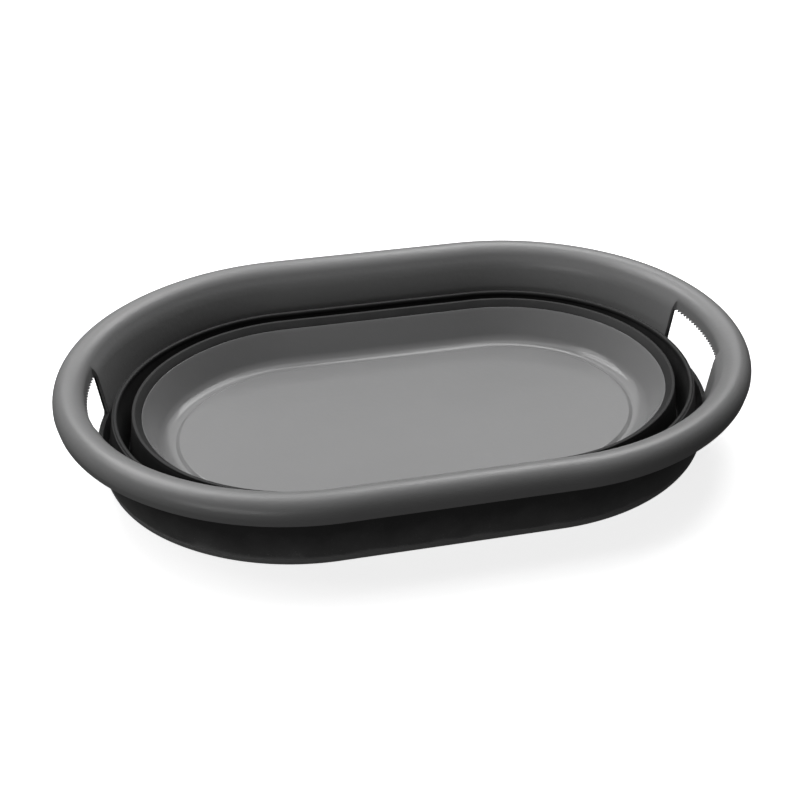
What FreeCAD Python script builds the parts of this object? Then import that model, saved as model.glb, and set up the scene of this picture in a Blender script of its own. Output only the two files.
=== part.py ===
import FreeCAD, Part
import Sketcher
import math
import os

# Collapsible oval foot basin, folded flat, in millimetres.
# +Z is up and the floor is z = 0. +X is the long way, through both handles. The origin is
# the centre of the plan. Every ring of the basin follows one oval: places in a section are
# given as (inset, height), where inset is how far a point lies inside the rim's outermost edge.

ARC_JOINT = math.sqrt(0.5)    # sine and cosine of 45 degrees, where the oval's arcs meet
WALL_RISE = math.sqrt(0.75)   # the tray's wall rises at 60 degrees: this much up
WALL_RUN = 0.5                # and this much across, per unit of slope
SHOULDER_ACROSS = 0.9         # way through the rim's skin at the shoulder: this much across
SHOULDER_DOWN = 0.5           # and this much down, per unit of skin

DRIVING_SIZES = {
    # oval in plan
    "half_length": 295.0,
    "half_width": 195.0,
    "side_radius": 213.0,
    "spine_inset": 30.0,
    # rim frame: rolled rim and the wall below it
    "rim_crest_height": 85.0,
    "rim_crest_inset": 12.5,
    "rim_side_height": 71.0,
    "rim_lip_height": 64.5,
    "rim_skin": 2.4,
    "rim_lip_round": 0.6,
    "rim_lip_lean": 1.2,
    "rim_outer_radius": 13.6,
    "rim_inner_radius": 14.5,
    "shoulder_inset": 25.8,
    "shoulder_height": 77.0,
    "wall_top_inset": 29.2,
    "wall_top_height": 70.5,
    "wall_foot_inset": 34.9,
    "wall_foot_height": 28.0,
    "wall_thickness": 2.2,
    # handles
    "handle_half_span": 47.0,
    "handle_cut_top": 76.0,
    "handle_cut_depth": 271.0,
    "handle_corner": 4.0,
    "bow_face_top": 25.9,
    "bow_face_foot": 27.3,
    "bow_foot_height": 66.0,
    "bow_skin": 2.4,
    "bow_overlap": 0.5,
    "bow_angle": 36.5,
    "grip_height": 2.6,
    "grip_angle": 34.0,
    "grip_edge": 1.0,
    "rib_pitch": 3.6,
    "rib_radius": 1.25,
    "rib_count": 25.0,
    # black skirt outside the wall
    "skirt_top": 70.0,
    "skirt_top_inset": 25.8,
    "skirt_foot_inset": 33.2,
    "skirt_groove_height": 8.2,
    "skirt_groove_depth": 0.9,
    "skirt_groove_width": 1.2,
    "skirt_groove_draft": 0.4,
    "skirt_foot": 1.0,
    "skirt_foot_round": 1.2,
    # folding wall
    "valley_height": 13.0,
    "valley_underside": 11.2,
    "ridge_height": 50.0,
    "membrane": 1.3,
    "fold_bend": 1.0,
    "fold_gap": 0.3,
    "upper_valley_inset": 37.0,
    "upper_ridge_inset": 45.2,
    "ring_thickness": 2.8,
    "ring_foot_inset": 51.8,
    "ring_bead": 1.9,
    "ring_neck": 0.4,
    "lower_ridge_inset": 60.9,
    "collar_crest": 0.9,
    "collar_lead": 2.9,
    "collar_thickness": 3.0,
    "collar_cladding": 9.0,
    # base tray
    "tray_edge_inset": 69.0,
    "tray_edge_height": 44.5,
    "tray_skin": 2.5,
    "tray_cove_radius": 11.0,
    "tray_floor": 14.5,
    "tray_cove_inset": 92.7,
    "tray_margin": 1.5,
    "tray_step_rise": 2.0,
    "tray_step_run": 3.0,
    "tray_plate_inset": 112.0,
}


class Size:
    """A length together with the spreadsheet formula that gives it."""

    def __init__(self, value, formula):
        self.value = value
        self.formula = formula

    @staticmethod
    def of(other):
        if isinstance(other, Size):
            return other
        return Size(float(other), f"({float(other)!r})")

    def __add__(self, other):
        other = Size.of(other)
        return Size(self.value + other.value, f"({self.formula} + {other.formula})")

    def __sub__(self, other):
        other = Size.of(other)
        return Size(self.value - other.value, f"({self.formula} - {other.formula})")

    def __mul__(self, other):
        other = Size.of(other)
        return Size(self.value * other.value, f"({self.formula} * {other.formula})")

    def __truediv__(self, other):
        other = Size.of(other)
        return Size(self.value / other.value, f"({self.formula} / {other.formula})")

    def __neg__(self):
        return self * -1

    __rmul__ = __mul__


class Sizes:
    """The driving sizes, each an aliased cell of a spreadsheet, read as attributes."""

    def __init__(self, doc):
        sheet = doc.addObject("Spreadsheet::Sheet", "dims")
        for row, (alias, value) in enumerate(DRIVING_SIZES.items(), start=1):
            sheet.set(f"A{row}", alias)
            sheet.set(f"B{row}", str(value))
            sheet.setAlias(f"B{row}", alias)
            setattr(self, alias, Size(value, f"dims.{alias}"))
        self.arc_shift = (self.side_radius - self.half_width) * (1 / ARC_JOINT)
        self.end_radius = self.side_radius - self.arc_shift
        self.end_centre = self.half_length - self.end_radius
        self.straight = self.end_centre - self.arc_shift * ARC_JOINT


class Arc:
    """Marks that the outline goes on from its last corner by an arc. side is +1 where the arc
    bulges to the right of the way from corner to corner, and -1 where it bulges to the left."""

    def __init__(self, radius, side):
        self.radius = radius
        self.side = side


def origin_plane(body, role):
    return next(feature for feature in body.Origin.OriginFeatures if feature.Role == role)


def new_sketch(body, name, role):
    sketch = body.newObject("Sketcher::SketchObject", name)
    sketch.AttachmentSupport = [(origin_plane(body, role), "")]
    sketch.MapMode = "FlatFace"
    return sketch


def bind(sketch, constraint, size):
    """Adds a constraint that has a value and ties the value to the spreadsheet."""
    number = sketch.addConstraint(constraint)
    sketch.setExpression(f"Constraints[{number}]", size.formula)


def arc_between(first, last, radius, side):
    """The short arc between two points, and whether it is drawn from the last to the first."""
    chord = last - first
    rise = math.sqrt(radius ** 2 - (chord.Length / 2) ** 2)
    left = FreeCAD.Vector(-chord.y, chord.x, 0).normalize()
    centre = (first + last) * 0.5 + left * (rise * side)
    angle_first = math.atan2(first.y - centre.y, first.x - centre.x)
    angle_last = math.atan2(last.y - centre.y, last.x - centre.x)
    circle = Part.Circle(centre, FreeCAD.Vector(0, 0, 1), radius)
    backwards = side < 0
    if backwards:
        angle_first, angle_last = angle_last, angle_first
    return Part.ArcOfCircle(circle, angle_first, angle_last), backwards


def outline(sketch, steps):
    """Draws a closed outline and constrains it fully. steps are corners, (x, y) pairs of Sizes,
    with an Arc between two corners where the side between them is round."""
    corners = [step for step in steps if not isinstance(step, Arc)]
    arcs = {}
    count = 0
    for step in steps:
        if isinstance(step, Arc):
            arcs[count - 1] = step
        else:
            count += 1
    places = [FreeCAD.Vector(Size.of(x).value, Size.of(y).value, 0) for x, y in corners]
    ends = []
    for number, first in enumerate(places):
        last = places[(number + 1) % count]
        if number in arcs:
            shape, backwards = arc_between(first, last, arcs[number].radius.value, arcs[number].side)
        else:
            shape, backwards = Part.LineSegment(first, last), False
        sketch.addGeometry(shape, False)
        ends.append((2, 1) if backwards else (1, 2))
    for number, (x, y) in enumerate(corners):
        before = (number - 1) % count
        start = ends[number][0]
        sketch.addConstraint(Sketcher.Constraint("Coincident", before, ends[before][1], number, start))
        place = places[number]
        bind(sketch, Sketcher.Constraint("DistanceX", -1, 1, number, start, place.x), Size.of(x))
        bind(sketch, Sketcher.Constraint("DistanceY", -1, 1, number, start, place.y), Size.of(y))
    for number, arc in arcs.items():
        bind(sketch, Sketcher.Constraint("Radius", number, arc.radius.value), arc.radius)


def oval(sketch, dims, inset):
    """The basin's oval, inset from the outermost edge: two straights, four side arcs and two
    end arcs, drawn anticlockwise from the middle of the back straight."""
    side = dims.side_radius - inset
    end = dims.end_radius - inset
    half_width = dims.half_width - inset
    joint_x = dims.end_centre + end * ARC_JOINT
    joint_y = end * ARC_JOINT
    outline(sketch, [
        (0, half_width),
        (-dims.straight, half_width), Arc(side, 1),
        (-joint_x, joint_y), Arc(end, 1),
        (-joint_x, -joint_y), Arc(side, 1),
        (-dims.straight, -half_width),
        (dims.straight, -half_width), Arc(side, 1),
        (joint_x, -joint_y), Arc(end, 1),
        (joint_x, joint_y), Arc(side, 1),
        (dims.straight, half_width),
    ])


def ring(body, dims, name, section):
    """Carries a section, given as insets and heights, once round the oval."""
    spine = new_sketch(body, name + "_spine", "XY_Plane")
    oval(spine, dims, dims.spine_inset)
    profile = new_sketch(body, name + "_section", "YZ_Plane")
    outline(profile, [
        step if isinstance(step, Arc) else (dims.half_width - step[0], step[1])
        for step in section
    ])
    body.Document.recompute()
    pipe = body.newObject("PartDesign::AdditivePipe", name)
    pipe.Profile = profile
    pipe.Spine = spine
    spine.Visibility = False
    return pipe


def end_sweep(body, dims, name, side, section, angle):
    """Turns a section about the centre of an end arc, the same angle to both sides of the long
    axis. side is +1 for the right end and -1 for the left."""
    profile = new_sketch(body, name + "_section", "XZ_Plane")
    outline(profile, [
        step if isinstance(step, Arc) else (side * (dims.half_length - step[0]), step[1])
        for step in section
    ])
    foot = FreeCAD.Vector(side * dims.end_centre.value, 0, 0)
    top = FreeCAD.Vector(foot.x, dims.rim_crest_height.value, 0)
    axis = profile.addGeometry(Part.LineSegment(foot, top), True)
    profile.addConstraint(Sketcher.Constraint("Vertical", axis))
    profile.addConstraint(Sketcher.Constraint("PointOnObject", axis, 1, -1))
    bind(profile, Sketcher.Constraint("DistanceX", -1, 1, axis, 1, foot.x), side * dims.end_centre)
    bind(profile, Sketcher.Constraint("DistanceY", -1, 1, axis, 2, top.y), dims.rim_crest_height)
    body.Document.recompute()
    sweep = body.newObject("PartDesign::Revolution", name)
    sweep.Profile = profile
    sweep.ReferenceAxis = (profile, ["Axis0"])
    sweep.Midplane = True
    sweep.setExpression("Angle", angle.formula)
    return sweep


def end_window(body, dims, name, steps):
    """Cuts the handle opening through the wall at both ends. Its corners are given as (edge,
    height), where edge is -1 or +1 for the two sides of the opening, or a Size along Y. The cut
    stops short of the outer side of the rolled rim."""
    profile = new_sketch(body, name + "_outline", "YZ_Plane")
    half = dims.handle_half_span
    outline(profile, [
        step if isinstance(step, Arc) or isinstance(step[0], Size) else (half * step[0], step[1])
        for step in steps
    ])
    body.Document.recompute()
    window = body.newObject("PartDesign::Pocket", name)
    window.Profile = profile
    window.Midplane = True
    window.setExpression("Length", (dims.handle_cut_depth * 2).formula)
    return window


def new_body(doc, name):
    body = doc.addObject("PartDesign::Body", name)
    body.Label = name
    return body


def rim_frame(doc, dims):
    """Rigid frame: a rolled rim, hollow underneath, with the wall below it. At each end the wall
    is cut away and the rim becomes a bow to lift by, whose inner face stands back from the wall."""
    body = new_body(doc, "rim_frame")
    skin = dims.rim_skin
    crest = dims.rim_crest_inset
    wall = dims.wall_thickness
    lip = dims.rim_lip_height
    lip_round = dims.rim_lip_round
    lean = dims.rim_lip_lean
    ring(body, dims, "roll_and_wall", [
        (0, dims.rim_side_height), Arc(dims.rim_outer_radius, 1),
        (crest, dims.rim_crest_height), Arc(dims.rim_inner_radius, 1),
        (dims.shoulder_inset, dims.shoulder_height),
        (dims.wall_top_inset, dims.wall_top_height),
        (dims.wall_foot_inset, dims.wall_foot_height),
        (dims.wall_foot_inset - wall, dims.wall_foot_height),
        (dims.wall_top_inset - wall, dims.skirt_top),
        (dims.shoulder_inset - skin * SHOULDER_ACROSS, dims.shoulder_height - skin * SHOULDER_DOWN),
        Arc(dims.rim_inner_radius - skin, -1),
        (crest, dims.rim_crest_height - skin), Arc(dims.rim_outer_radius - skin, -1),
        (skin, dims.rim_side_height),
        (skin + lean, lip + lip_round),
        (skin + lean - lip_round, lip),
        (lean + lip_round, lip),
        (lean, lip + lip_round),
    ])
    end_window(body, dims, "handle_window", [
        (-1, dims.handle_cut_top),
        (-1, dims.wall_foot_height - wall),
        (1, dims.wall_foot_height - wall),
        (1, dims.handle_cut_top),
    ])
    for side, name in ((1, "right_bow"), (-1, "left_bow")):
        end_sweep(body, dims, name, side, [
            (dims.bow_face_top - dims.bow_skin, dims.handle_cut_top + dims.bow_overlap),
            (dims.bow_face_top, dims.handle_cut_top + dims.bow_overlap),
            (dims.bow_face_foot, dims.bow_foot_height),
            (dims.bow_face_foot - dims.bow_skin, dims.bow_foot_height),
        ], dims.bow_angle)
    return body


def outer_skirt(doc, dims):
    """Soft skirt that clads the wall outside and closes it below, with a bead at its foot."""
    body = new_body(doc, "outer_skirt")
    wall = dims.wall_thickness
    groove = dims.skirt_groove_height
    depth = dims.skirt_groove_depth
    draft = dims.skirt_groove_draft
    outer = dims.skirt_foot_inset
    inner = dims.upper_valley_inset
    foot = dims.skirt_foot
    foot_round = dims.skirt_foot_round
    ring(body, dims, "cladding", [
        (dims.skirt_top_inset, dims.skirt_top),
        (outer, groove),
        (outer + depth, groove - draft),
        (outer + depth, groove - dims.skirt_groove_width),
        (outer + draft, groove - dims.skirt_groove_width - draft),
        (outer + foot_round, foot + foot_round),
        (outer + foot_round * 2, foot),
        (inner, foot),
        (inner, dims.valley_height),
        (dims.wall_foot_inset, dims.wall_foot_height),
        (dims.wall_foot_inset - wall, dims.wall_foot_height),
        (dims.wall_top_inset - wall, dims.skirt_top),
    ])
    corner = dims.handle_corner
    half = dims.handle_half_span
    sill = dims.wall_foot_height
    end_window(body, dims, "handle_window", [
        (-1, dims.handle_cut_top),
        (-1, sill + corner), Arc(corner, 1),
        (corner - half, sill),
        (half - corner, sill), Arc(corner, 1),
        (1, sill + corner),
        (1, dims.handle_cut_top),
    ])
    return body


def grip(doc, dims, name, side):
    """Strip that closes the hollow under a bow, with ribs across it for the fingers. Its sides
    follow the rim's lip and the back of the bow."""
    body = new_body(doc, name)
    foot = dims.rim_lip_height + dims.rim_lip_round
    top = dims.bow_foot_height + dims.grip_height
    lip_foot = dims.rim_skin + dims.rim_lip_lean
    lip_slope = dims.rim_lip_lean / (dims.rim_side_height - foot)
    back_foot = dims.bow_face_foot - dims.bow_skin
    back_rise = dims.handle_cut_top + dims.bow_overlap - dims.bow_foot_height
    back_slope = (dims.bow_face_foot - dims.bow_face_top) / back_rise
    end_sweep(body, dims, "strip", side, [
        (lip_foot, foot),
        (lip_foot - lip_slope * (top - foot), top),
        (back_foot - back_slope * dims.grip_height, top),
        (back_foot, dims.bow_foot_height),
        (back_foot - dims.grip_edge, foot),
    ], dims.grip_angle)
    notch = new_sketch(body, "notch_outline", "YZ_Plane")
    radius = dims.rib_radius
    notch.addGeometry(Part.Circle(FreeCAD.Vector(0, 0, 0), FreeCAD.Vector(0, 0, 1), radius.value), False)
    first = (dims.rib_count - 1) * dims.rib_pitch * -0.5
    bind(notch, Sketcher.Constraint("DistanceX", -1, 1, 0, 3, first.value), first)
    bind(notch, Sketcher.Constraint("DistanceY", -1, 1, 0, 3, foot.value), foot)
    bind(notch, Sketcher.Constraint("Radius", 0, radius.value), radius)
    doc.recompute()
    cut = body.newObject("PartDesign::Pocket", "notch")
    cut.Profile = notch
    cut.Type = "ThroughAll"
    cut.Midplane = True
    doc.recompute()
    ribs = body.newObject("PartDesign::LinearPattern", "ribs")
    ribs.Originals = [cut]
    ribs.Direction = (notch, ["H_Axis"])
    ribs.setExpression("Length", ((dims.rib_count - 1) * dims.rib_pitch).formula)
    ribs.setExpression("Occurrences", dims.rib_count.formula)
    body.Tip = ribs
    return body


def fold(doc, dims, name, start, top, top_height):
    """Thin membrane that rises from the foot of one ring to the top of the next. It stands clear
    of the ring at its foot by the fold gap."""
    body = new_body(doc, name)
    skin = dims.membrane
    valley = dims.valley_height
    start = start + dims.fold_gap
    bend = start + skin
    ring(body, dims, "membrane", [
        (start, valley),
        (start + dims.fold_bend, valley),
        (top, top_height),
        (top + skin, top_height),
        (bend + skin, valley),
        (bend, dims.valley_underside),
        (start, dims.valley_underside),
    ])
    return body


def middle_ring(doc, dims):
    """Stiff band between the two folds, with a round bead along its top and a square one at its
    foot."""
    body = new_body(doc, "middle_ring")
    bead = dims.ring_bead
    neck = dims.ring_neck
    crest = dims.upper_ridge_inset
    foot = dims.ring_foot_inset
    inner = foot + dims.ring_thickness
    valley = dims.valley_height
    underside = dims.valley_underside
    neck_height = dims.ridge_height - bead * 2
    ring(body, dims, "band", [
        (crest, dims.ridge_height - bead), Arc(bead, 1),
        (crest + bead, dims.ridge_height), Arc(bead, 1),
        (crest + bead * 2, dims.ridge_height - bead),
        (crest + bead * 2 - neck, neck_height),
        (inner - neck, valley + bead),
        (inner, valley + bead - neck),
        (inner, valley - neck),
        (inner - neck * 2, underside),
        (foot + neck * 2, underside),
        (foot, valley),
        (crest + neck, neck_height),
    ])
    return body


def tray_collar(doc, dims):
    """Soft collar that clads the top of the tray's wall and carries the lower fold."""
    body = new_body(doc, "tray_collar")
    edge = dims.tray_edge_inset
    height = dims.tray_edge_height
    skin = dims.tray_skin
    depth = dims.collar_cladding
    thick = dims.collar_thickness
    top = dims.lower_ridge_inset
    round_off = dims.collar_crest
    lead = dims.ridge_height - dims.collar_lead
    back = edge - skin * WALL_RISE
    back_height = height - skin * WALL_RUN
    foot = back + depth * WALL_RUN
    foot_height = back_height - depth * WALL_RISE
    ring(body, dims, "collar", [
        (top, lead),
        (top, dims.ridge_height - round_off),
        (top + round_off, dims.ridge_height),
        (top + round_off * 3, dims.ridge_height),
        (edge, height),
        (back, back_height),
        (foot, foot_height),
        (foot - thick * WALL_RISE, foot_height - thick * WALL_RUN),
        (top + thick, lead - thick),
        (top + dims.membrane, lead),
    ])
    return body


def base_tray(doc, dims):
    """Rigid tray: sloping wall, coved into a flat margin, a raised middle and a foot ring."""
    body = new_body(doc, "base_tray")
    skin = dims.tray_skin
    edge = dims.tray_edge_inset
    height = dims.tray_edge_height
    floor = dims.tray_floor
    cove = dims.tray_cove_inset
    radius = dims.tray_cove_radius
    wall_end = cove - radius * WALL_RISE
    wall_level = floor + radius * WALL_RUN
    step = cove + dims.tray_margin
    plate_top = floor + dims.tray_step_rise
    plate_start = step + dims.tray_step_run
    ring(body, dims, "wall_and_margin", [
        (edge, height),
        (wall_end, wall_level), Arc(radius, -1),
        (cove, floor),
        (step, floor),
        (plate_start, plate_top),
        (dims.tray_plate_inset, plate_top),
        (dims.tray_plate_inset, plate_top - skin),
        (plate_start, plate_top - skin),
        (plate_start, 0),
        (cove, 0),
        (cove, floor - skin), Arc(radius + skin, 1),
        (wall_end - skin * WALL_RISE, wall_level - skin * WALL_RUN),
        (edge - skin * WALL_RISE, height - skin * WALL_RUN),
    ])
    plate = new_sketch(body, "plate_outline", "XY_Plane")
    oval(plate, dims, dims.tray_plate_inset)
    plate.setExpression("AttachmentOffset.Base.z", (plate_top - skin).formula)
    doc.recompute()
    pad = body.newObject("PartDesign::Pad", "plate")
    pad.Profile = plate
    pad.setExpression("Length", skin.formula)
    return body


def check(doc, bodies):
    """Stops if any object failed to recompute or a piece isn't a valid single solid."""
    for item in doc.Objects:
        if "Invalid" in item.State or "Error" in item.State:
            raise RuntimeError(f"{item.Name} failed: {item.State}")
    for body in bodies:
        shape = body.Shape
        if shape.isNull() or not shape.isValid() or len(shape.Solids) != 1:
            raise RuntimeError(f"{body.Label} is not one valid solid")


def main():
    doc = FreeCAD.newDocument("foot_basin")
    dims = Sizes(doc)
    doc.recompute()
    bodies = [
        rim_frame(doc, dims),
        grip(doc, dims, "right_grip", 1),
        grip(doc, dims, "left_grip", -1),
        outer_skirt(doc, dims),
        fold(doc, dims, "upper_fold", dims.upper_valley_inset,
             dims.upper_ridge_inset - dims.membrane, dims.ridge_height - dims.ring_bead),
        middle_ring(doc, dims),
        fold(doc, dims, "lower_fold", dims.ring_foot_inset + dims.ring_thickness,
             dims.lower_ridge_inset, dims.ridge_height - dims.collar_lead),
        tray_collar(doc, dims),
        base_tray(doc, dims),
    ]
    doc.recompute()
    check(doc, bodies)
    os.makedirs("parts", exist_ok=True)
    for body in bodies:
        body.Shape.exportStep(f"parts/{body.Label}.step")
        print(f"{body.Label}: {body.Shape.Volume / 1000:.1f} cm3, {len(body.Shape.Faces)} faces")


main()
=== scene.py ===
import math

import bpy
import numpy as np
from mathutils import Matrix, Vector


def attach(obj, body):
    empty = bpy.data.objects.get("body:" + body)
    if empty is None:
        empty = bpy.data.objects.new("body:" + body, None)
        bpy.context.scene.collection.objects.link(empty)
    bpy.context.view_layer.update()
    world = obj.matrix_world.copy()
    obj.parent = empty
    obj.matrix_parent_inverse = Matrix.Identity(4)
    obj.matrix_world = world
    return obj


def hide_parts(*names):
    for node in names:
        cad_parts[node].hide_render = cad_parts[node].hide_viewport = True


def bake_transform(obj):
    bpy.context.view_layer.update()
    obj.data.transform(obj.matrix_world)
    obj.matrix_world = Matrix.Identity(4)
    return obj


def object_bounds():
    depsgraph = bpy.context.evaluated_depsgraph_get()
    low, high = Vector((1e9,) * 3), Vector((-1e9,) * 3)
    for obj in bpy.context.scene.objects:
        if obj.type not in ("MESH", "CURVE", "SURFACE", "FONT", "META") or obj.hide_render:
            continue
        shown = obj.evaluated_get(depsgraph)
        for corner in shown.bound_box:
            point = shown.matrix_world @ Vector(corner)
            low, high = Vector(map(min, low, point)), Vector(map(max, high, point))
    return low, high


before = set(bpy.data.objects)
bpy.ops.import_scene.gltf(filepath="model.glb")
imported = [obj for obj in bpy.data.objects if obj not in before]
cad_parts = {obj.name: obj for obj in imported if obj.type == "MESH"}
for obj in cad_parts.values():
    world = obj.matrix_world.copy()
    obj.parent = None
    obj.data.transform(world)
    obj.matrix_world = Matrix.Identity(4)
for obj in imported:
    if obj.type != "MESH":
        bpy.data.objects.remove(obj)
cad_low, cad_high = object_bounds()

# Oval foot basin, folded flat. Its pieces are swept round the basin's oval. Their sections are in
# millimetres, as (inset, height) or (inset, height, radius): inset is how far a point lies inside
# the rim's outermost edge, height is above the floor, and radius rounds the corner.

MM = 0.001

# plan
HALF_LENGTH = cad_high.x / MM
HALF_WIDTH = cad_high.y / MM
SIDE_RADIUS = 213.0
ARC_JOINT = math.radians(45.0)      # turn of each side arc, where it meets the end arc
STATION_STEP = 4.5                  # spacing of the sections along the oval

# mesh
CELL = 4.0                          # longest step between points of a section
MEMBRANE_CELL = 2.0
SHARP_TURN = 38.0                   # edges that turn by more degrees stay crisp
RIB_SHARP_TURN = 60.0
BEVEL_TURN = math.radians(48.0)     # edges that turn by more are rounded by a bevel
RIM_BEVEL = 0.45
SKIRT_BEVEL = 0.35

# handle openings
HANDLE_HALF_SPAN = 47.0
HANDLE_STEP = 0.7                   # run of the small step at each end of a bow
HANDLE_CORNER = 4.0                 # radius of the sill's corners
CUT_GAP = 0.15                      # each side of the skirt's opening stands back this far
RIM_CLEAR = 2.6                     # ordinary sections stay this far from an opening's sides
SKIRT_CLEAR = 7.5
ROUNDING = 0.01                     # allows for rounding where an opening ends

# rim and wall
RIM_SKIN = 2.4
WALL_SKIN = 2.2
LIP_SKINS = (0.9, 1.7, 2.3)         # the rim's lower lip thins towards its end
SIDE_HEIGHT = 71.0                  # height of the rim's outermost edge
CREST_INSET = 12.5
OUTER_ROLL = (11.3, 12.8)
INNER_ROLL = 13.3
INNER_ROLL_DROP = 0.5
ROLL_TURN = math.radians(63.0)
WALL_KNEE = (28.6, 68.6)
KNEE_RADIUS = 25
WALL_FOOT = (33.8, 28.0)
BOW_FOOT = (25.3, 66.2)
BOW_STEP = (0.55, -1.6)             # first turn of the bow's inner face, from the shoulder
BOW_STEP_RADIUS = 6

# grips
GRIP_ANGLE = math.radians(17.0)     # half of the turn that a grip takes
GRIP_FOOT = 64.7
GRIP_TOP = 68.4
GRIP_EDGE = 27.3
RIB_PITCH = 4.3
RIB_DEPTH = 1.3
RIB_SECTIONS = 8                    # sections for each rib

# skirt
SKIRT_TOP = 69.6
SKIRT_ROWS = (64, 58, 52, 46, 40, 36, 32.4)
SKIRT_OUTSIDE = ((8.2, SKIRT_TOP), (33.2, 25.9))        # heights, and the insets there
SKIRT_INSIDE = ((28, SKIRT_TOP), (32.9, 27.15))
FOOT_INSIDE = ((13, 28), (37.0, 34.85))

# tray
TRAY_EDGE = (69.0, 44.5)
TRAY_EDGE_RADII = (0.35, 0.6)
TRAY_SKIN = 2.5
COVE_INSET = 92.7
COVE_RADIUS = 14.0
TRAY_FLOOR = 14.5
PLATE_TOP = 16.5
PLATE_EDGE = 97.2
PLATE_FIELD = PLATE_EDGE + 8        # the flat field of the plate starts here

# materials
GREY_PLASTIC = 0.245                # base colours, as grey levels
BLACK_RUBBER = 0.026
# painted light: the skirt is the same black rubber as the folds, with a paler base colour that stands in
# for light it catches
SKIRT_RUBBER_PAINTED_PALER = 0.034
RIM_ROUGHNESS = 0.31
GRIP_ROUGHNESS = 0.42
TRAY_ROUGHNESS = 0.16
RUBBER_ROUGHNESS = 0.58
SKIRT_ROUGHNESS = 0.55
# painted light: below the first height the skirt's colour is painted paler towards the floor as a painted
# sheen, and below the second the bead gets a painted highlight band
PAINTED_SHEEN_TOP = 50 * MM                  # heights above the skirt's foot
PAINTED_BEAD_HIGHLIGHT_TOP = 6.5 * MM

# studio, in metres and degrees
FLOOR_GLOW = 0.8
FLOOR_MIDDLE = (0.5, 2.0)           # radii of the floor's inner rings
FLOOR_FLAT = 5.0
FLOOR_BEND = 2.5
FLOOR_SPOKES = 72
WORLD_LIGHT = 0.055
VIEW_AZIMUTH = -12.788
VIEW_ELEVATION = 34.576
VIEW_DISTANCE = 1.175
SENSOR = 36.0                       # these two in millimetres
LENS = 60.174
SHIFT = (-0.010, 0.041)


# ---------------------------------------------------------------- plan

class Oval:
    """The basin's oval: straights joined by side arcs and end arcs that meet tangentially."""

    def __init__(self):
        shift = (SIDE_RADIUS - HALF_WIDTH) / math.cos(ARC_JOINT)
        self.end_radius = SIDE_RADIUS - shift
        self.end_centre = HALF_LENGTH - self.end_radius
        self.straight = self.end_centre - shift * math.sin(ARC_JOINT)
        side_centre = HALF_WIDTH - SIDE_RADIUS
        quarter = math.pi / 2
        side, end = SIDE_RADIUS, self.end_radius
        # each run: length, centre of its arc (or start of its line), radius, first normal angle
        self.runs = [
            (self.straight, (0, HALF_WIDTH), None, quarter),
            (side * ARC_JOINT, (-self.straight, side_centre), side, quarter),
            (end * quarter, (-self.end_centre, 0), end, quarter + ARC_JOINT),
            (side * ARC_JOINT, (-self.straight, -side_centre), side, 2 * quarter + ARC_JOINT),
            (2 * self.straight, (-self.straight, -HALF_WIDTH), None, 3 * quarter),
            (side * ARC_JOINT, (self.straight, -side_centre), side, 3 * quarter),
            (end * quarter, (self.end_centre, 0), end, 3 * quarter + ARC_JOINT),
            (side * ARC_JOINT, (self.straight, side_centre), side, ARC_JOINT),
            (self.straight, (self.straight, HALF_WIDTH), None, quarter),
        ]
        self.length = sum(run[0] for run in self.runs)
        left = sum(run[0] for run in self.runs[:2]) + self.runs[2][0] / 2
        self.end_middles = (left, self.length - left)

    def at(self, along):
        """Outermost point and outward normal at a distance along the oval."""
        along = along % self.length
        for length, anchor, radius, angle in self.runs:
            if along <= length:
                break
            along -= length
        if radius is None:
            normal = np.array([math.cos(angle), math.sin(angle)])
            forward = np.array([-normal[1], normal[0]])
            return np.array(anchor) + forward * along, normal
        angle += along / radius
        normal = np.array([math.cos(angle), math.sin(angle)])
        return np.array(anchor) + normal * radius, normal

    def reach(self, half, inset):
        """Distance along from the middle of an end to where a ring of this inset is half a span
        away from the long axis."""
        return self.end_radius * math.asin(half / (self.end_radius - inset))

    def even_stations(self):
        """Evenly spaced distances, the same in each quarter."""
        count = 8 * round(self.length / STATION_STEP / 8)
        return np.arange(count) * self.length / count


OVAL = Oval()


class Station:
    """A place along the oval. At the side of a handle opening it has a span, and slides along so
    that it keeps that distance from the long axis at every inset."""

    def __init__(self, along, middle=None, side=0, half=None):
        self.along = along
        self.middle = middle
        self.side = side
        self.half = half

    def at(self, inset, height, half_at=None):
        """Distance along the oval at this inset. half_at(half, height) may narrow the span."""
        if self.half is None:
            return self.along
        half = half_at(self.half, height) if half_at else self.half
        return self.middle + self.side * OVAL.reach(half, max(inset, BOW_FOOT[0]))


def handle_stations(halves, clear):
    """Stations round the oval with extra ones at the sides of both openings. Ordinary stations
    keep clear of those."""
    marks = [Station(middle + side * OVAL.reach(half, WALL_KNEE[0]), middle, side, half)
             for middle in OVAL.end_middles for half in halves for side in (-1, 1)]
    even = [Station(along) for along in OVAL.even_stations()
            if all(abs(along - mark.along) > clear for mark in marks)]
    return sorted(even + marks, key=lambda station: station.along)


def in_opening(along, half):
    """Whether a place along the oval lies in a handle opening of this half span."""
    edge = OVAL.reach(half, WALL_KNEE[0]) + ROUNDING
    return any(abs(along - middle) < edge for middle in OVAL.end_middles)


# ---------------------------------------------------------------- sections

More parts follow.
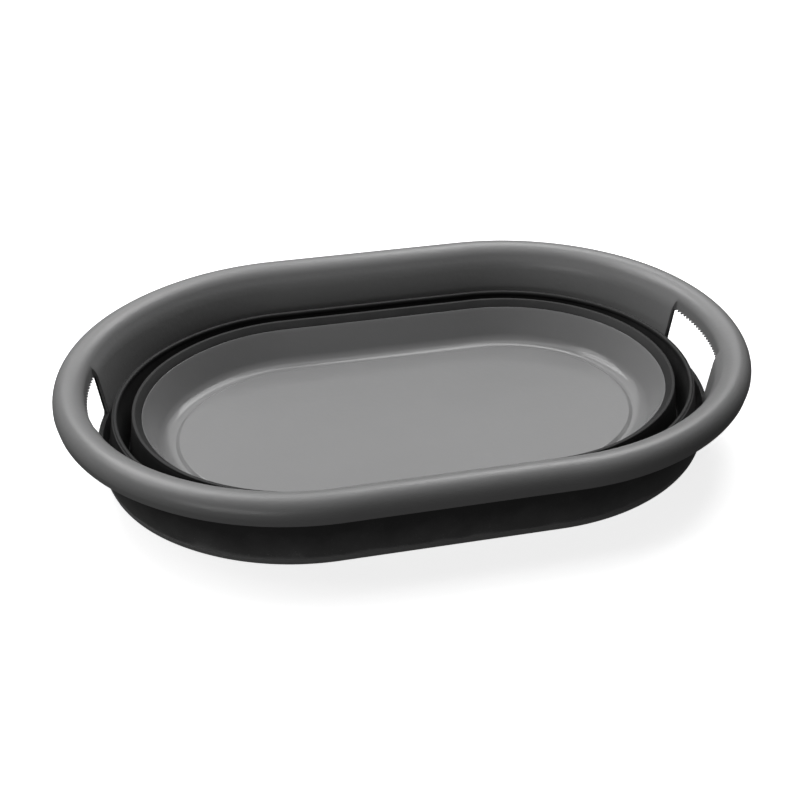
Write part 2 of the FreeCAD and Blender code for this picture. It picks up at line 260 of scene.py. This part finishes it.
def rounded(corners, closed=False, pieces=7):
    """Points along straight sides whose corners, (inset, height, radius), are rounded."""
    corners = [tuple(corner) + (0,) * (3 - len(corner)) for corner in corners]
    count = len(corners)
    points = []
    for number, (x, y, radius) in enumerate(corners):
        here = np.array([x, y], float)
        if radius == 0 or (not closed and number in (0, count - 1)):
            points.append(here)
            continue
        before = np.array(corners[number - 1][:2], float) - here
        after = np.array(corners[(number + 1) % count][:2], float) - here
        before /= np.linalg.norm(before)
        after /= np.linalg.norm(after)
        half = math.acos(np.clip(before @ after, -1, 1)) / 2
        reach = radius / math.tan(half)
        centre = here + (before + after) / np.linalg.norm(before + after) * radius / math.sin(half)
        first = here + before * reach - centre
        last = here + after * reach - centre
        turn = math.pi - 2 * half
        for step in range(pieces + 1):
            part = step / pieces
            points.append(centre + (first * math.sin(turn * (1 - part)) + last * math.sin(turn * part))
                          / math.sin(turn))
    return np.array(points)


def divided(points, longest, closed=False):
    """The same line with its long sides cut into shorter ones."""
    points = list(points)
    ends = points[1:] + (points[:1] if closed else [])
    result = []
    for first, last in zip(points, ends):
        cuts = max(1, math.ceil(np.linalg.norm(last - first) / longest))
        result += [first + (last - first) * cut / cuts for cut in range(cuts)]
    if not closed:
        result.append(points[-1])
    return np.array(result)


def resampled(points, count):
    """The same line as this many evenly spaced points."""
    points = np.array(points, float)
    run = np.concatenate([[0], np.cumsum(np.linalg.norm(np.diff(points, axis=0), axis=1))])
    wanted = np.linspace(0, run[-1], count)
    return np.stack([np.interp(wanted, run, points[:, axis]) for axis in (0, 1)], axis=1)


def round_arc(centre, radius, first, last, pieces):
    """Arc in a section. Angles are measured from straight up, towards growing inset."""
    turns = np.linspace(first, last, pieces + 1)
    radius = np.broadcast_to(radius, 2)
    return np.stack([centre[0] + radius[0] * np.sin(turns), centre[1] + radius[1] * np.cos(turns)], axis=1)


def both_faces(line, skin):
    """Outer and inner face of a wall along a middle line."""
    runs = np.diff(line, axis=0)
    runs /= np.linalg.norm(runs, axis=1)[:, None]
    forward = np.concatenate([runs[:1], runs[:-1] + runs[1:], runs[-1:]])
    forward /= np.linalg.norm(forward, axis=1)[:, None]
    side = np.stack([-forward[:, 1], forward[:, 0]], axis=1) * np.asarray(skin)[:, None] / 2
    return line + side, line - side


def place(along, inset, height):
    """A section's point as a vertex of the mesh, in metres."""
    base, normal = OVAL.at(along)
    return ((base[0] - normal[0] * inset) * MM, (base[1] - normal[1] * inset) * MM, height * MM)


# ---------------------------------------------------------------- mesh builders

def finish_mesh(name, vertices, faces, sharp=None):
    """Makes the piece, with its normals pointing out. Edges that turn by more than sharp degrees
    stay crisp."""
    corner = np.array(vertices)
    volume = 0.0
    for face in faces:
        for a, b in zip(face[1:-1], face[2:]):
            volume += corner[face[0]] @ np.cross(corner[a], corner[b])
    if volume < 0:
        faces = [face[::-1] for face in faces]
    mesh = bpy.data.meshes.new(name)
    mesh.from_pydata(vertices, [], faces)
    mesh.update()
    mesh.shade_smooth()
    if sharp:
        mesh.set_sharp_from_angle(angle=math.radians(sharp))
    piece = bpy.data.objects.new(name, mesh)
    bpy.context.scene.collection.objects.link(piece)
    return piece


def soften_edges(piece, width):
    """Rounds the piece's corners a little, as moulded edges are."""
    bevel = piece.modifiers.new("moulded_edges", "BEVEL")
    bevel.width = width * MM
    bevel.segments = 3
    bevel.limit_method = "ANGLE"
    bevel.angle_limit = BEVEL_TURN
    piece.modifiers.new("even_shading", "WEIGHTED_NORMAL")
    return piece


def swept(name, alongs, sections, ring=True, sharp=SHARP_TURN):
    """A closed section, one for each place along, carried round the oval or along part of it."""
    rows, columns = len(alongs), len(sections[0])
    vertices = [place(along, *point) for along, section in zip(alongs, sections) for point in section]
    faces = []
    for i in range(rows if ring else rows - 1):
        for j in range(columns):
            k, n = (i + 1) % rows, (j + 1) % columns
            faces.append((i * columns + j, k * columns + j, k * columns + n, i * columns + n))
    if not ring:
        faces.append(tuple(range(columns)))
        faces.append(tuple((rows - 1) * columns + j for j in range(columns))[::-1])
    return finish_mesh(name, vertices, faces, sharp)


def ring_piece(name, corners, cell=CELL):
    """A closed section with rounded corners, the same all round the oval."""
    section = divided(rounded(corners, closed=True, pieces=5), cell, closed=True)
    alongs = OVAL.even_stations()
    return swept(name, alongs, [section] * len(alongs))


def shell_piece(name, stations, section_of, gone, half_at=None):
    """A thick wall carried round the oval. section_of(station number) gives its outer and inner
    face, row by row. Cells for which gone(along, row) is true are left out, and every open edge
    is closed."""
    rows = len(stations)
    sections = [section_of(i) for i in range(rows)]
    columns = len(sections[0][0])
    vertices = [place(stations[i].at(inset, height, half_at), inset, height)
                for face in (0, 1) for i in range(rows) for inset, height in sections[i][face]]
    middles = [(stations[i].along + (stations[(i + 1) % rows].along - stations[i].along) % OVAL.length / 2)
               for i in range(rows)]

    def out(i, j):
        return (i % rows) * columns + j

    def back(i, j):
        return rows * columns + (i % rows) * columns + j

    here = [[not gone(middles[i], j) for j in range(columns - 1)] for i in range(rows)]
    faces = []
    for i in range(rows):
        for j in range(columns - 1):
            if not here[i][j]:
                continue
            faces.append((out(i, j), out(i + 1, j), out(i + 1, j + 1), out(i, j + 1)))
            faces.append((back(i, j + 1), back(i + 1, j + 1), back(i + 1, j), back(i, j)))
            if j == 0 or not here[i][j - 1]:
                faces.append((out(i, j), back(i, j), back(i + 1, j), out(i + 1, j)))
            if j == columns - 2 or not here[i][j + 1]:
                faces.append((out(i + 1, j + 1), back(i + 1, j + 1), back(i, j + 1), out(i, j + 1)))
            if not here[i - 1][j]:
                faces.append((out(i, j + 1), back(i, j + 1), back(i, j), out(i, j)))
            if not here[(i + 1) % rows][j]:
                faces.append((out(i + 1, j), back(i + 1, j), back(i + 1, j + 1), out(i + 1, j + 1)))
    used = sorted({index for face in faces for index in face})
    number = {index: count for count, index in enumerate(used)}
    vertices = [vertices[index] for index in used]
    faces = [tuple(number[index] for index in face) for face in faces]
    return finish_mesh(name, vertices, faces)


# ---------------------------------------------------------------- pieces

def rim_shell():
    """Rolled rim, hollow underneath, and the hard wall below it. At each end the wall is cut away,
    and the bow's inner face stands back from the wall by a small step."""
    lip = np.array([(2.5, 64.6), (2.45, 64.85), (2.35, 65.4), (2.0, 67.2), (1.6, 69.1)])
    roll_out = round_arc((CREST_INSET, SIDE_HEIGHT), OUTER_ROLL, -math.pi / 2, 0, 18)
    roll_in = round_arc((CREST_INSET, SIDE_HEIGHT - INNER_ROLL_DROP), INNER_ROLL, 0, ROLL_TURN, 12)[1:]
    shoulder = tuple(roll_in[-1])
    wall = divided(rounded([shoulder, WALL_KNEE + (KNEE_RADIUS,), WALL_FOOT], pieces=9), CELL)[1:]
    line = np.concatenate([lip, roll_out, roll_in, wall])
    skin = np.interp(line[:, 1], [WALL_FOOT[1], 66, 76], [WALL_SKIN, WALL_SKIN, RIM_SKIN])
    skin[:len(LIP_SKINS)] = LIP_SKINS
    first_wall = len(line) - len(wall)
    bow_row = first_wall + int(np.argmin(np.abs(wall[:, 1] - BOW_FOOT[1])))

    # the bow has as many points as the wall above the opening, so that the mesh's rows match
    bow = line.copy()
    bend = (shoulder[0] + BOW_STEP[0], shoulder[1] + BOW_STEP[1], BOW_STEP_RADIUS)
    bow_path = rounded([shoulder, bend, BOW_FOOT])
    bow[first_wall - 1:bow_row + 1] = resampled(bow_path, bow_row - first_wall + 2)
    wall_faces = both_faces(line, skin)
    bow_faces = both_faces(bow[:bow_row + 1], skin[:bow_row + 1])
    bow_faces = [np.concatenate([face, plain[bow_row + 1:]])
                 for face, plain in zip(bow_faces, wall_faces)]

    inner_half = HANDLE_HALF_SPAN - HANDLE_STEP
    stations = handle_stations((HANDLE_HALF_SPAN, inner_half), RIM_CLEAR)

    def section_of(i):
        return bow_faces if in_opening(stations[i].along, inner_half) else wall_faces

    def gone(along, j):
        return j >= bow_row and in_opening(along, HANDLE_HALF_SPAN)

    piece = shell_piece("rim_shell", stations, section_of, gone)
    return soften_edges(piece, RIM_BEVEL)


def grip_ribs(name, middle):
    """Strip under a bow, ribbed across for the fingers. The ribs reach the bow's inner edge."""
    inner_radius = OVAL.end_radius - GRIP_EDGE
    ribs = 2 * GRIP_ANGLE * inner_radius / RIB_PITCH
    turns = np.linspace(-GRIP_ANGLE, GRIP_ANGLE, round(ribs * RIB_SECTIONS) + 1)
    sections = []
    for turn in turns:
        notch = 0.5 - 0.5 * math.cos(turn * inner_radius / RIB_PITCH * 2 * math.pi)
        foot = GRIP_FOOT + RIB_DEPTH * notch
        edge = GRIP_EDGE - RIB_DEPTH * notch
        sections.append(divided(rounded([
            (3.7, GRIP_TOP), (4.1, foot, 0.5), (edge, foot, 0.55), (edge, 66.6), (26.0, 66.9),
            (25.6, GRIP_TOP),
        ], closed=True, pieces=4), CELL, closed=True))
    alongs = middle + turns * OVAL.end_radius
    return swept(name, alongs, sections, ring=False, sharp=RIB_SHARP_TURN)


def skirt_wall():
    """Soft skirt on the outside of the wall, with a groove and a bead at its foot. Below the sill of
    the openings it is the whole wall."""
    sill = WALL_FOOT[1]
    corner_rows = [sill + HANDLE_CORNER * (1 - math.cos(turn)) for turn in np.linspace(math.pi / 2, 0.3, 6)]
    upper = [SKIRT_TOP, *SKIRT_ROWS, *corner_rows]
    outer = [(np.interp(height, *SKIRT_OUTSIDE), height) for height in upper]
    inner = [(np.interp(height, *SKIRT_INSIDE), height) for height in upper]
    sill_row = len(upper)
    outer += [(30.85, sill), (31.6, 21.5), (32.25, 16.0), (32.8, 11.5), (33.15, 8.75), (33.35, 8.3),
              (33.95, 8.0), (34.15, 7.7), (34.15, 7.15), (33.95, 6.85), (33.55, 6.55), (33.45, 6.0),
              (33.65, 4.6), (34.15, 2.9), (34.6, 2.0), (35.2, 1.3), (35.9, 1.0)]
    lower = (sill, 21.5, 16.0, 11.5, 8.7, 8.2, 7.9, 7.6, 7.1, 6.8, 6.5, 6.0, 4.6, 2.9, 2.0, 1.4, 1.05)
    inner += [(np.interp(height, *FOOT_INSIDE), height) for height in lower]
    faces = (np.array(outer), np.array(inner))
    half = HANDLE_HALF_SPAN + CUT_GAP
    stations = handle_stations((half,), SKIRT_CLEAR)

    def half_at(span, height):
        """The opening's half span, less towards the sill so that its corners are round."""
        above = np.clip((height - sill) / HANDLE_CORNER, 0, 1)
        return span - HANDLE_CORNER * (1 - math.sqrt(1 - (1 - above) ** 2))

    def gone(along, j):
        return j < sill_row and in_opening(along, half)

    piece = shell_piece("skirt_wall", stations, lambda i: faces, gone, half_at)
    return soften_edges(piece, SKIRT_BEVEL)


def upper_membrane():
    """Thin soft cone between the skirt and the ring band. Its foot turns out to meet the skirt."""
    return ring_piece("upper_membrane", [
        (35.5, 13.2), (38.4, 13.2, 1.2), (44.4, 48.8, 0.5), (46.2, 49.2), (46.0, 47.4), (40.1, 12.4, 1.5),
        (39.1, 11.0), (35.5, 11.0),
    ], MEMBRANE_CELL)


def lower_membrane():
    """Thin soft cone between the ring band and the collar. Its foot turns out to meet the band."""
    return ring_piece("lower_membrane", [
        (53.6, 13.0), (55.8, 13.0, 1.0), (60.8, 47.4), (62.2, 48.6), (62.4, 47.0), (57.4, 12.4),
        (56.4, 11.0), (53.6, 11.0),
    ], MEMBRANE_CELL)


def ring_band():
    """Stiff band between the folds, with a round bead on top."""
    return ring_piece("ring_band", [
        (45.2, 46.9, 0.4), (45.2, 50.0, 1.88), (49.0, 50.0, 1.88), (49.0, 46.9, 0.4), (48.5, 46.0, 0.8),
        (54.25, 15.0, 0.5), (54.65, 14.4, 0.4), (54.65, 12.5, 0.6), (53.9, 11.2, 0.5), (52.5, 11.2, 0.5),
        (51.8, 13.0, 0.6), (45.7, 46.1, 0.5),
    ])


def collar_band():
    """Soft collar that clads the tray's edge."""
    return ring_piece("collar_band", [
        (60.9, 47.1), (60.9, 50.0, 1.0), (63.7, 50.0, 1.3), (68.95, 44.55, 0.35), (66.8, 43.25),
        (71.3, 35.5), (68.7, 34.0, 0.6), (64.0, 44.1, 1.5), (62.2, 47.1),
    ])


def tray_shell():
    """Hard tray: sloping wall, cove, raised plate and foot ring. The plate is one flat field,
    filled from each station to the one across the long axis."""
    centre = (COVE_INSET, TRAY_FLOOR + COVE_RADIUS)
    to_edge = (centre[0] - TRAY_EDGE[0], TRAY_EDGE[1] - centre[1])
    turn = math.atan2(to_edge[1], to_edge[0]) + math.asin(COVE_RADIUS / math.hypot(*to_edge))
    underside = PLATE_TOP - TRAY_SKIN
    across = TRAY_SKIN * math.sin(turn)
    down = TRAY_SKIN * math.cos(turn)
    cove = round_arc(centre, -COVE_RADIUS, 0, turn, 16)
    under = round_arc(centre, -(COVE_RADIUS + TRAY_SKIN), turn, 0, 12)
    step = rounded([(PLATE_FIELD, PLATE_TOP), (PLATE_EDGE, PLATE_TOP, 2.2),
                    (COVE_INSET + 1.5, TRAY_FLOOR, 2.0), (COVE_INSET, TRAY_FLOOR)], pieces=6)
    upper_radius, lower_radius = TRAY_EDGE_RADII
    edge = rounded([cove[-1], TRAY_EDGE + (upper_radius,),
                    (TRAY_EDGE[0] - across, TRAY_EDGE[1] - down, lower_radius), under[0]], pieces=5)
    foot = rounded([under[-1], (COVE_INSET, 0, 0.6), (PLATE_EDGE, 0, 0.6), (PLATE_EDGE, underside, 0.8),
                    (PLATE_FIELD, underside)], pieces=4)
    line = divided(np.concatenate([step[:-1], cove[:-1], edge, under[1:-1], foot]), CELL)
    alongs = OVAL.even_stations()
    rows, columns = len(alongs), len(line)
    vertices = [place(along, *point) for along in alongs for point in line]
    faces = []
    for i in range(rows):
        here, there = i * columns, (i + 1) % rows * columns
        faces += [(here + j, there + j, there + j + 1, here + j + 1) for j in range(columns - 1)]
    for j, turned in ((0, True), (columns - 1, False)):
        for i in range(-rows // 4, rows // 4):
            ends = [i % rows, (i + 1) % rows, (rows // 2 - i - 1) % rows, (rows // 2 - i) % rows]
            ends = [number for count, number in enumerate(ends) if number != ends[count - 1]]
            face = tuple(number * columns + j for number in ends)
            faces.append(face[::-1] if turned else face)
    return finish_mesh("tray_shell", vertices, faces, SHARP_TURN)


# ---------------------------------------------------------------- materials

class Paint:
    """A material's node tree, with short calls for its nodes."""

    def __init__(self, name):
        self.material = bpy.data.materials.new(name)
        self.material.use_nodes = True
        self.tree = self.material.node_tree
        self.shader = self.tree.nodes["Principled BSDF"]
        self.place = self.node("ShaderNodeTexCoord").outputs["Object"]

    def node(self, kind, **settings):
        node = self.tree.nodes.new(kind)
        for key, value in settings.items():
            setattr(node, key, value)
        return node

    def link(self, source, target):
        self.tree.links.new(source, target)

    def noise(self, scale, detail=3.0, stretch=(1, 1, 1)):
        """Noise from 0 to 1. scale is in features per metre."""
        mapping = self.node("ShaderNodeMapping")
        mapping.inputs["Scale"].default_value = stretch
        self.link(self.place, mapping.inputs["Vector"])
        noise = self.node("ShaderNodeTexNoise")
        noise.inputs["Scale"].default_value = scale
        noise.inputs["Detail"].default_value = detail
        self.link(mapping.outputs["Vector"], noise.inputs["Vector"])
        return noise.outputs["Fac"]

    def spread(self, value, low, high, to_low, to_high):
        """The value carried from one range to another, and held inside it."""
        node = self.node("ShaderNodeMapRange")
        for key, number in zip(("From Min", "From Max", "To Min", "To Max"), (low, high, to_low, to_high)):
            node.inputs[key].default_value = number
        self.link(value, node.inputs["Value"])
        return node.outputs["Result"]

    def join(self, first, second, operation="ADD"):
        """Both values added, or joined by another operation."""
        node = self.node("ShaderNodeMath", operation=operation)
        self.link(first, node.inputs[0])
        self.link(second, node.inputs[1])
        return node.outputs["Value"]

    def ramp(self, value, *stops):
        """Colour for the value, from stops of (value, colour)."""
        node = self.node("ShaderNodeValToRGB")
        elements = node.color_ramp.elements
        for count, (at, colour) in enumerate(stops):
            element = elements[count] if count < 2 else elements.new(at)
            element.position = at
            element.color = (*colour, 1.0)
        self.link(value, node.inputs["Fac"])
        return node.outputs["Color"]

    def edges(self):
        """Value above 0.5 on outward edges and below it in hollows."""
        return self.node("ShaderNodeNewGeometry").outputs["Pointiness"]

    def bump(self, height, depth, below=None):
        """Bump of this depth in metres, added to the bump below it."""
        node = self.node("ShaderNodeBump")
        node.inputs["Strength"].default_value = 1.0
        node.inputs["Distance"].default_value = depth
        self.link(height, node.inputs["Height"])
        if below:
            self.link(below, node.inputs["Normal"])
        return node.outputs["Normal"]


def grey(level):
    """Grey with a trace of blue."""
    return (level, level, level * 1.005)


def moulded_plastic(name, level, rough, grain):
    """Grey moulded polypropylene: slight flow marks in its tone, fine orange peel, faint rubbing on
    its edges and hairline scratches."""
    paint = Paint(name)
    shader = paint.shader.inputs
    flow = paint.noise(9, 4.0, (1, 1.6, 2.5))
    cloud = paint.noise(60, 5.0)
    tone = paint.join(paint.spread(flow, 0.3, 0.7, 0.0, 0.45), paint.spread(cloud, 0.3, 0.7, 0.0, 0.15))
    worn = paint.spread(paint.edges(), 0.54, 0.6, 0.0, 0.12)
    rubbing = paint.join(worn, paint.spread(paint.noise(140, 3.0), 0.3, 0.75, 0.0, 1.0), "MULTIPLY")
    colour = paint.ramp(paint.join(tone, rubbing), (0.0, grey(level * 0.97)), (0.8, grey(level * 1.03)),
                        (1.0, grey(level * 1.3)))
    paint.link(colour, shader["Base Color"])
    hairs = paint.spread(paint.noise(420, 2.0, (0.03, 1, 1)), 0.66, 0.78, 0.0, 0.02)
    matte = paint.join(paint.spread(cloud, 0.3, 0.7, rough - 0.03, rough + 0.04), hairs)
    paint.link(paint.join(matte, paint.spread(rubbing, 0.0, 0.2, 0.0, 0.03)), shader["Roughness"])
    peel = paint.bump(paint.noise(230, 2.0), grain * 0.12 * MM)
    fine = paint.bump(paint.noise(1700, 3.0), grain * 0.02 * MM, peel)
    paint.link(fine, shader["Normal"])
    shader["IOR"].default_value = 1.49
    return paint.material


def soft_rubber(name, level, rough, painted_sheen_below=None):
    """Black moulded rubber: a fine matte grain, slightly paler where it bends or rubs, with a
    trace of dust. Below the given height the colour is painted paler towards the floor as a
    painted sheen, and the bead gets a painted highlight band."""
    paint = Paint(name)
    shader = paint.shader.inputs
    cloud = paint.noise(45, 5.0)
    dust = paint.spread(paint.noise(900, 4.0), 0.6, 0.8, 0.0, 0.3)
    worn = paint.spread(paint.edges(), 0.51, 0.56, 0.0, 0.25)
    tone = paint.join(paint.join(paint.spread(cloud, 0.3, 0.7, 0.0, 0.2), dust), worn)
    # painted light: paler towards the floor as a painted sheen, plus a paler band on the bead as a painted
    # highlight
    if painted_sheen_below:
        split = paint.node("ShaderNodeSeparateXYZ")
        paint.link(paint.place, split.inputs["Vector"])
        height = split.outputs["Z"]
        tone = paint.join(tone, paint.spread(height, 0.0, painted_sheen_below, 0.95, 0.0))
        tone = paint.join(tone, paint.spread(height, PAINTED_BEAD_HIGHLIGHT_TOP, PAINTED_BEAD_HIGHLIGHT_TOP + 2 * MM, 0.35, 0.0))
    colour = paint.ramp(tone, (0.0, grey(level * 0.85)), (0.4, grey(level * 1.3)),
                        (0.85, grey(level * 3.3)), (1.0, grey(level * 6.5)))
    paint.link(colour, shader["Base Color"])
    matte = paint.join(paint.spread(cloud, 0.3, 0.7, rough - 0.04, rough + 0.05),
                       paint.spread(dust, 0.0, 0.3, 0.0, 0.1))
    paint.link(matte, shader["Roughness"])
    grain = paint.bump(paint.noise(2600, 4.0), 0.035 * MM)
    wave = paint.bump(paint.noise(70, 2.0), 0.25 * MM, grain)
    paint.link(wave, shader["Normal"])
    shader["IOR"].default_value = 1.5
    shader["Specular IOR Level"].default_value = 0.3
    return paint.material


def studio_floor(name):
    """White floor that glows a little, so that only a soft shadow shows on it."""
    paint = Paint(name)
    shader = paint.shader.inputs
    haze = paint.noise(3, 3.0)
    paint.link(paint.ramp(haze, (0.3, grey(0.86)), (0.7, grey(0.88))), shader["Base Color"])
    shader["Roughness"].default_value = 0.9
    shader["Specular IOR Level"].default_value = 0.1
    shader["Emission Color"].default_value = (1, 1, 1, 1)
    shader["Emission Strength"].default_value = FLOOR_GLOW
    return paint.material


# ---------------------------------------------------------------- assembly

def fitted(piece, node, material, body=None):
    """Gives the piece its material and slot, and puts it in the place of a CAD node."""
    piece.data.materials.append(material)
    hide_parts(node)
    if body:
        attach(piece, body)
    return piece


rim_plastic = moulded_plastic("rim_plastic_look", GREY_PLASTIC, RIM_ROUGHNESS, 1.0)
grip_plastic = moulded_plastic("grip_plastic_look", GREY_PLASTIC, GRIP_ROUGHNESS, 2.5)
tray_plastic = moulded_plastic("tray_plastic_look", GREY_PLASTIC, TRAY_ROUGHNESS, 0.6)
rubber = soft_rubber("soft_wall_look", BLACK_RUBBER, RUBBER_ROUGHNESS)
# the skirt's material carries a painted sheen towards its foot and a painted highlight on its bead
skirt_rubber = soft_rubber("skirt_look", SKIRT_RUBBER_PAINTED_PALER, SKIRT_ROUGHNESS, PAINTED_SHEEN_TOP)

left_end, right_end = OVAL.end_middles
fitted(rim_shell(), "rim_frame", rim_plastic, "rim")
fitted(grip_ribs("right_grip_ribs", right_end), "right_grip", grip_plastic, "rim")
fitted(grip_ribs("left_grip_ribs", left_end), "left_grip", grip_plastic, "rim")
fitted(skirt_wall(), "outer_skirt", skirt_rubber, "rim")
fitted(ring_band(), "middle_ring", rubber, "middle")
fitted(collar_band(), "tray_collar", rubber, "base")
fitted(tray_shell(), "base_tray", tray_plastic, "base")

# The membranes belong to no body; each one's placement is baked into its mesh.
upper = fitted(upper_membrane(), "upper_fold", rubber)
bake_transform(upper)
lower = fitted(lower_membrane(), "lower_fold", rubber)
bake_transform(lower)


# ---------------------------------------------------------------- studio

def studio():
    """Round floor whose edge turns up, far outside the basin, so that no horizon shows."""
    turns = np.linspace(0, math.pi / 2, 10)
    bend = [(FLOOR_FLAT + FLOOR_BEND * math.sin(turn), FLOOR_BEND * (1 - math.cos(turn))) for turn in turns]
    profile = [(radius, 0) for radius in FLOOR_MIDDLE] + bend + [(FLOOR_FLAT + FLOOR_BEND, 2 * FLOOR_BEND)]
    spokes = [2 * math.pi * i / FLOOR_SPOKES for i in range(FLOOR_SPOKES)]
    vertices = [(radius * math.cos(spoke), radius * math.sin(spoke), height)
                for radius, height in profile for spoke in spokes]
    faces = [tuple(range(FLOOR_SPOKES))]
    for row in range(len(profile) - 1):
        for i in range(FLOOR_SPOKES):
            k = (i + 1) % FLOOR_SPOKES
            inner, outer = row * FLOOR_SPOKES, (row + 1) * FLOOR_SPOKES
            faces.append((inner + i, outer + i, outer + k, inner + k))
    mesh = bpy.data.meshes.new("studio_floor")
    mesh.from_pydata(vertices, [], faces)
    mesh.shade_smooth()
    mesh.materials.append(studio_floor("studio_floor_look"))
    floor = bpy.data.objects.new("studio_floor", mesh)
    bpy.context.scene.collection.objects.link(floor)
    floor.visible_diffuse = False
    floor.visible_glossy = False


def softbox(name, at, aim, size, brightness):
    """A flat light of this brightness. at and aim are places in metres, size is (wide, high)."""
    light = bpy.data.lights.new(name, "AREA")
    light.shape = "RECTANGLE"
    light.size, light.size_y = size
    light.energy = brightness * size[0] * size[1] * math.pi
    lamp = bpy.data.objects.new(name, light)
    lamp.location = at
    lamp.rotation_euler = (Vector(aim) - Vector(at)).to_track_quat("-Z", "Y").to_euler()
    lamp.visible_camera = False
    bpy.context.scene.collection.objects.link(lamp)


def direction(azimuth, elevation):
    """Unit vector towards an azimuth, from -Y towards +X, and an elevation, both in degrees."""
    turn, rise = math.radians(azimuth), math.radians(elevation)
    return Vector((math.sin(turn) * math.cos(rise), -math.cos(turn) * math.cos(rise), math.sin(rise)))


def view_camera():
    """Camera that looks at the origin from the view's direction. The shift sets the framing."""
    camera = bpy.data.objects.new("camera", bpy.data.cameras.new("camera"))
    camera.location = direction(VIEW_AZIMUTH, VIEW_ELEVATION) * VIEW_DISTANCE
    camera.rotation_euler = (-camera.location).to_track_quat("-Z", "Y").to_euler()
    camera.data.sensor_width = SENSOR
    camera.data.lens = LENS
    camera.data.shift_x, camera.data.shift_y = SHIFT
    bpy.context.scene.collection.objects.link(camera)
    bpy.context.scene.camera = camera


def weak_surroundings():
    """Even light from all round, so that no shadow is black."""
    world = bpy.data.worlds.new("studio")
    world.use_nodes = True
    background = world.node_tree.nodes["Background"]
    background.inputs["Color"].default_value = (1, 1, 1, 1)
    background.inputs["Strength"].default_value = WORLD_LIGHT
    bpy.context.scene.world = world


studio()
softbox("rear_panel", (0.1, 1.09, 1.11), (0, 0, 0), (2.3, 0.75), 1.3)
softbox("right_key", direction(140, 57) * 1.75, (0, 0, 0), (0.95, 0.8), 4.0)
softbox("left_key", direction(-140, 57) * 1.75, (0, 0, 0), (0.95, 0.8), 4.4)
softbox("top_panel", direction(180, 86) * 1.7, (0, 0, 0), (1.6, 0.6), 1.3)
softbox("left_softbox", direction(-95, 50) * 1.7, (0, 0, 0.03), (0.8, 0.8), 2.5)
softbox("front_fill", direction(-40, 12) * 1.7, (0, 0, 0.03), (1.1, 0.4), 1.9)
weak_surroundings()
view_camera()
bpy.context.scene.view_settings.view_transform = "Standard"
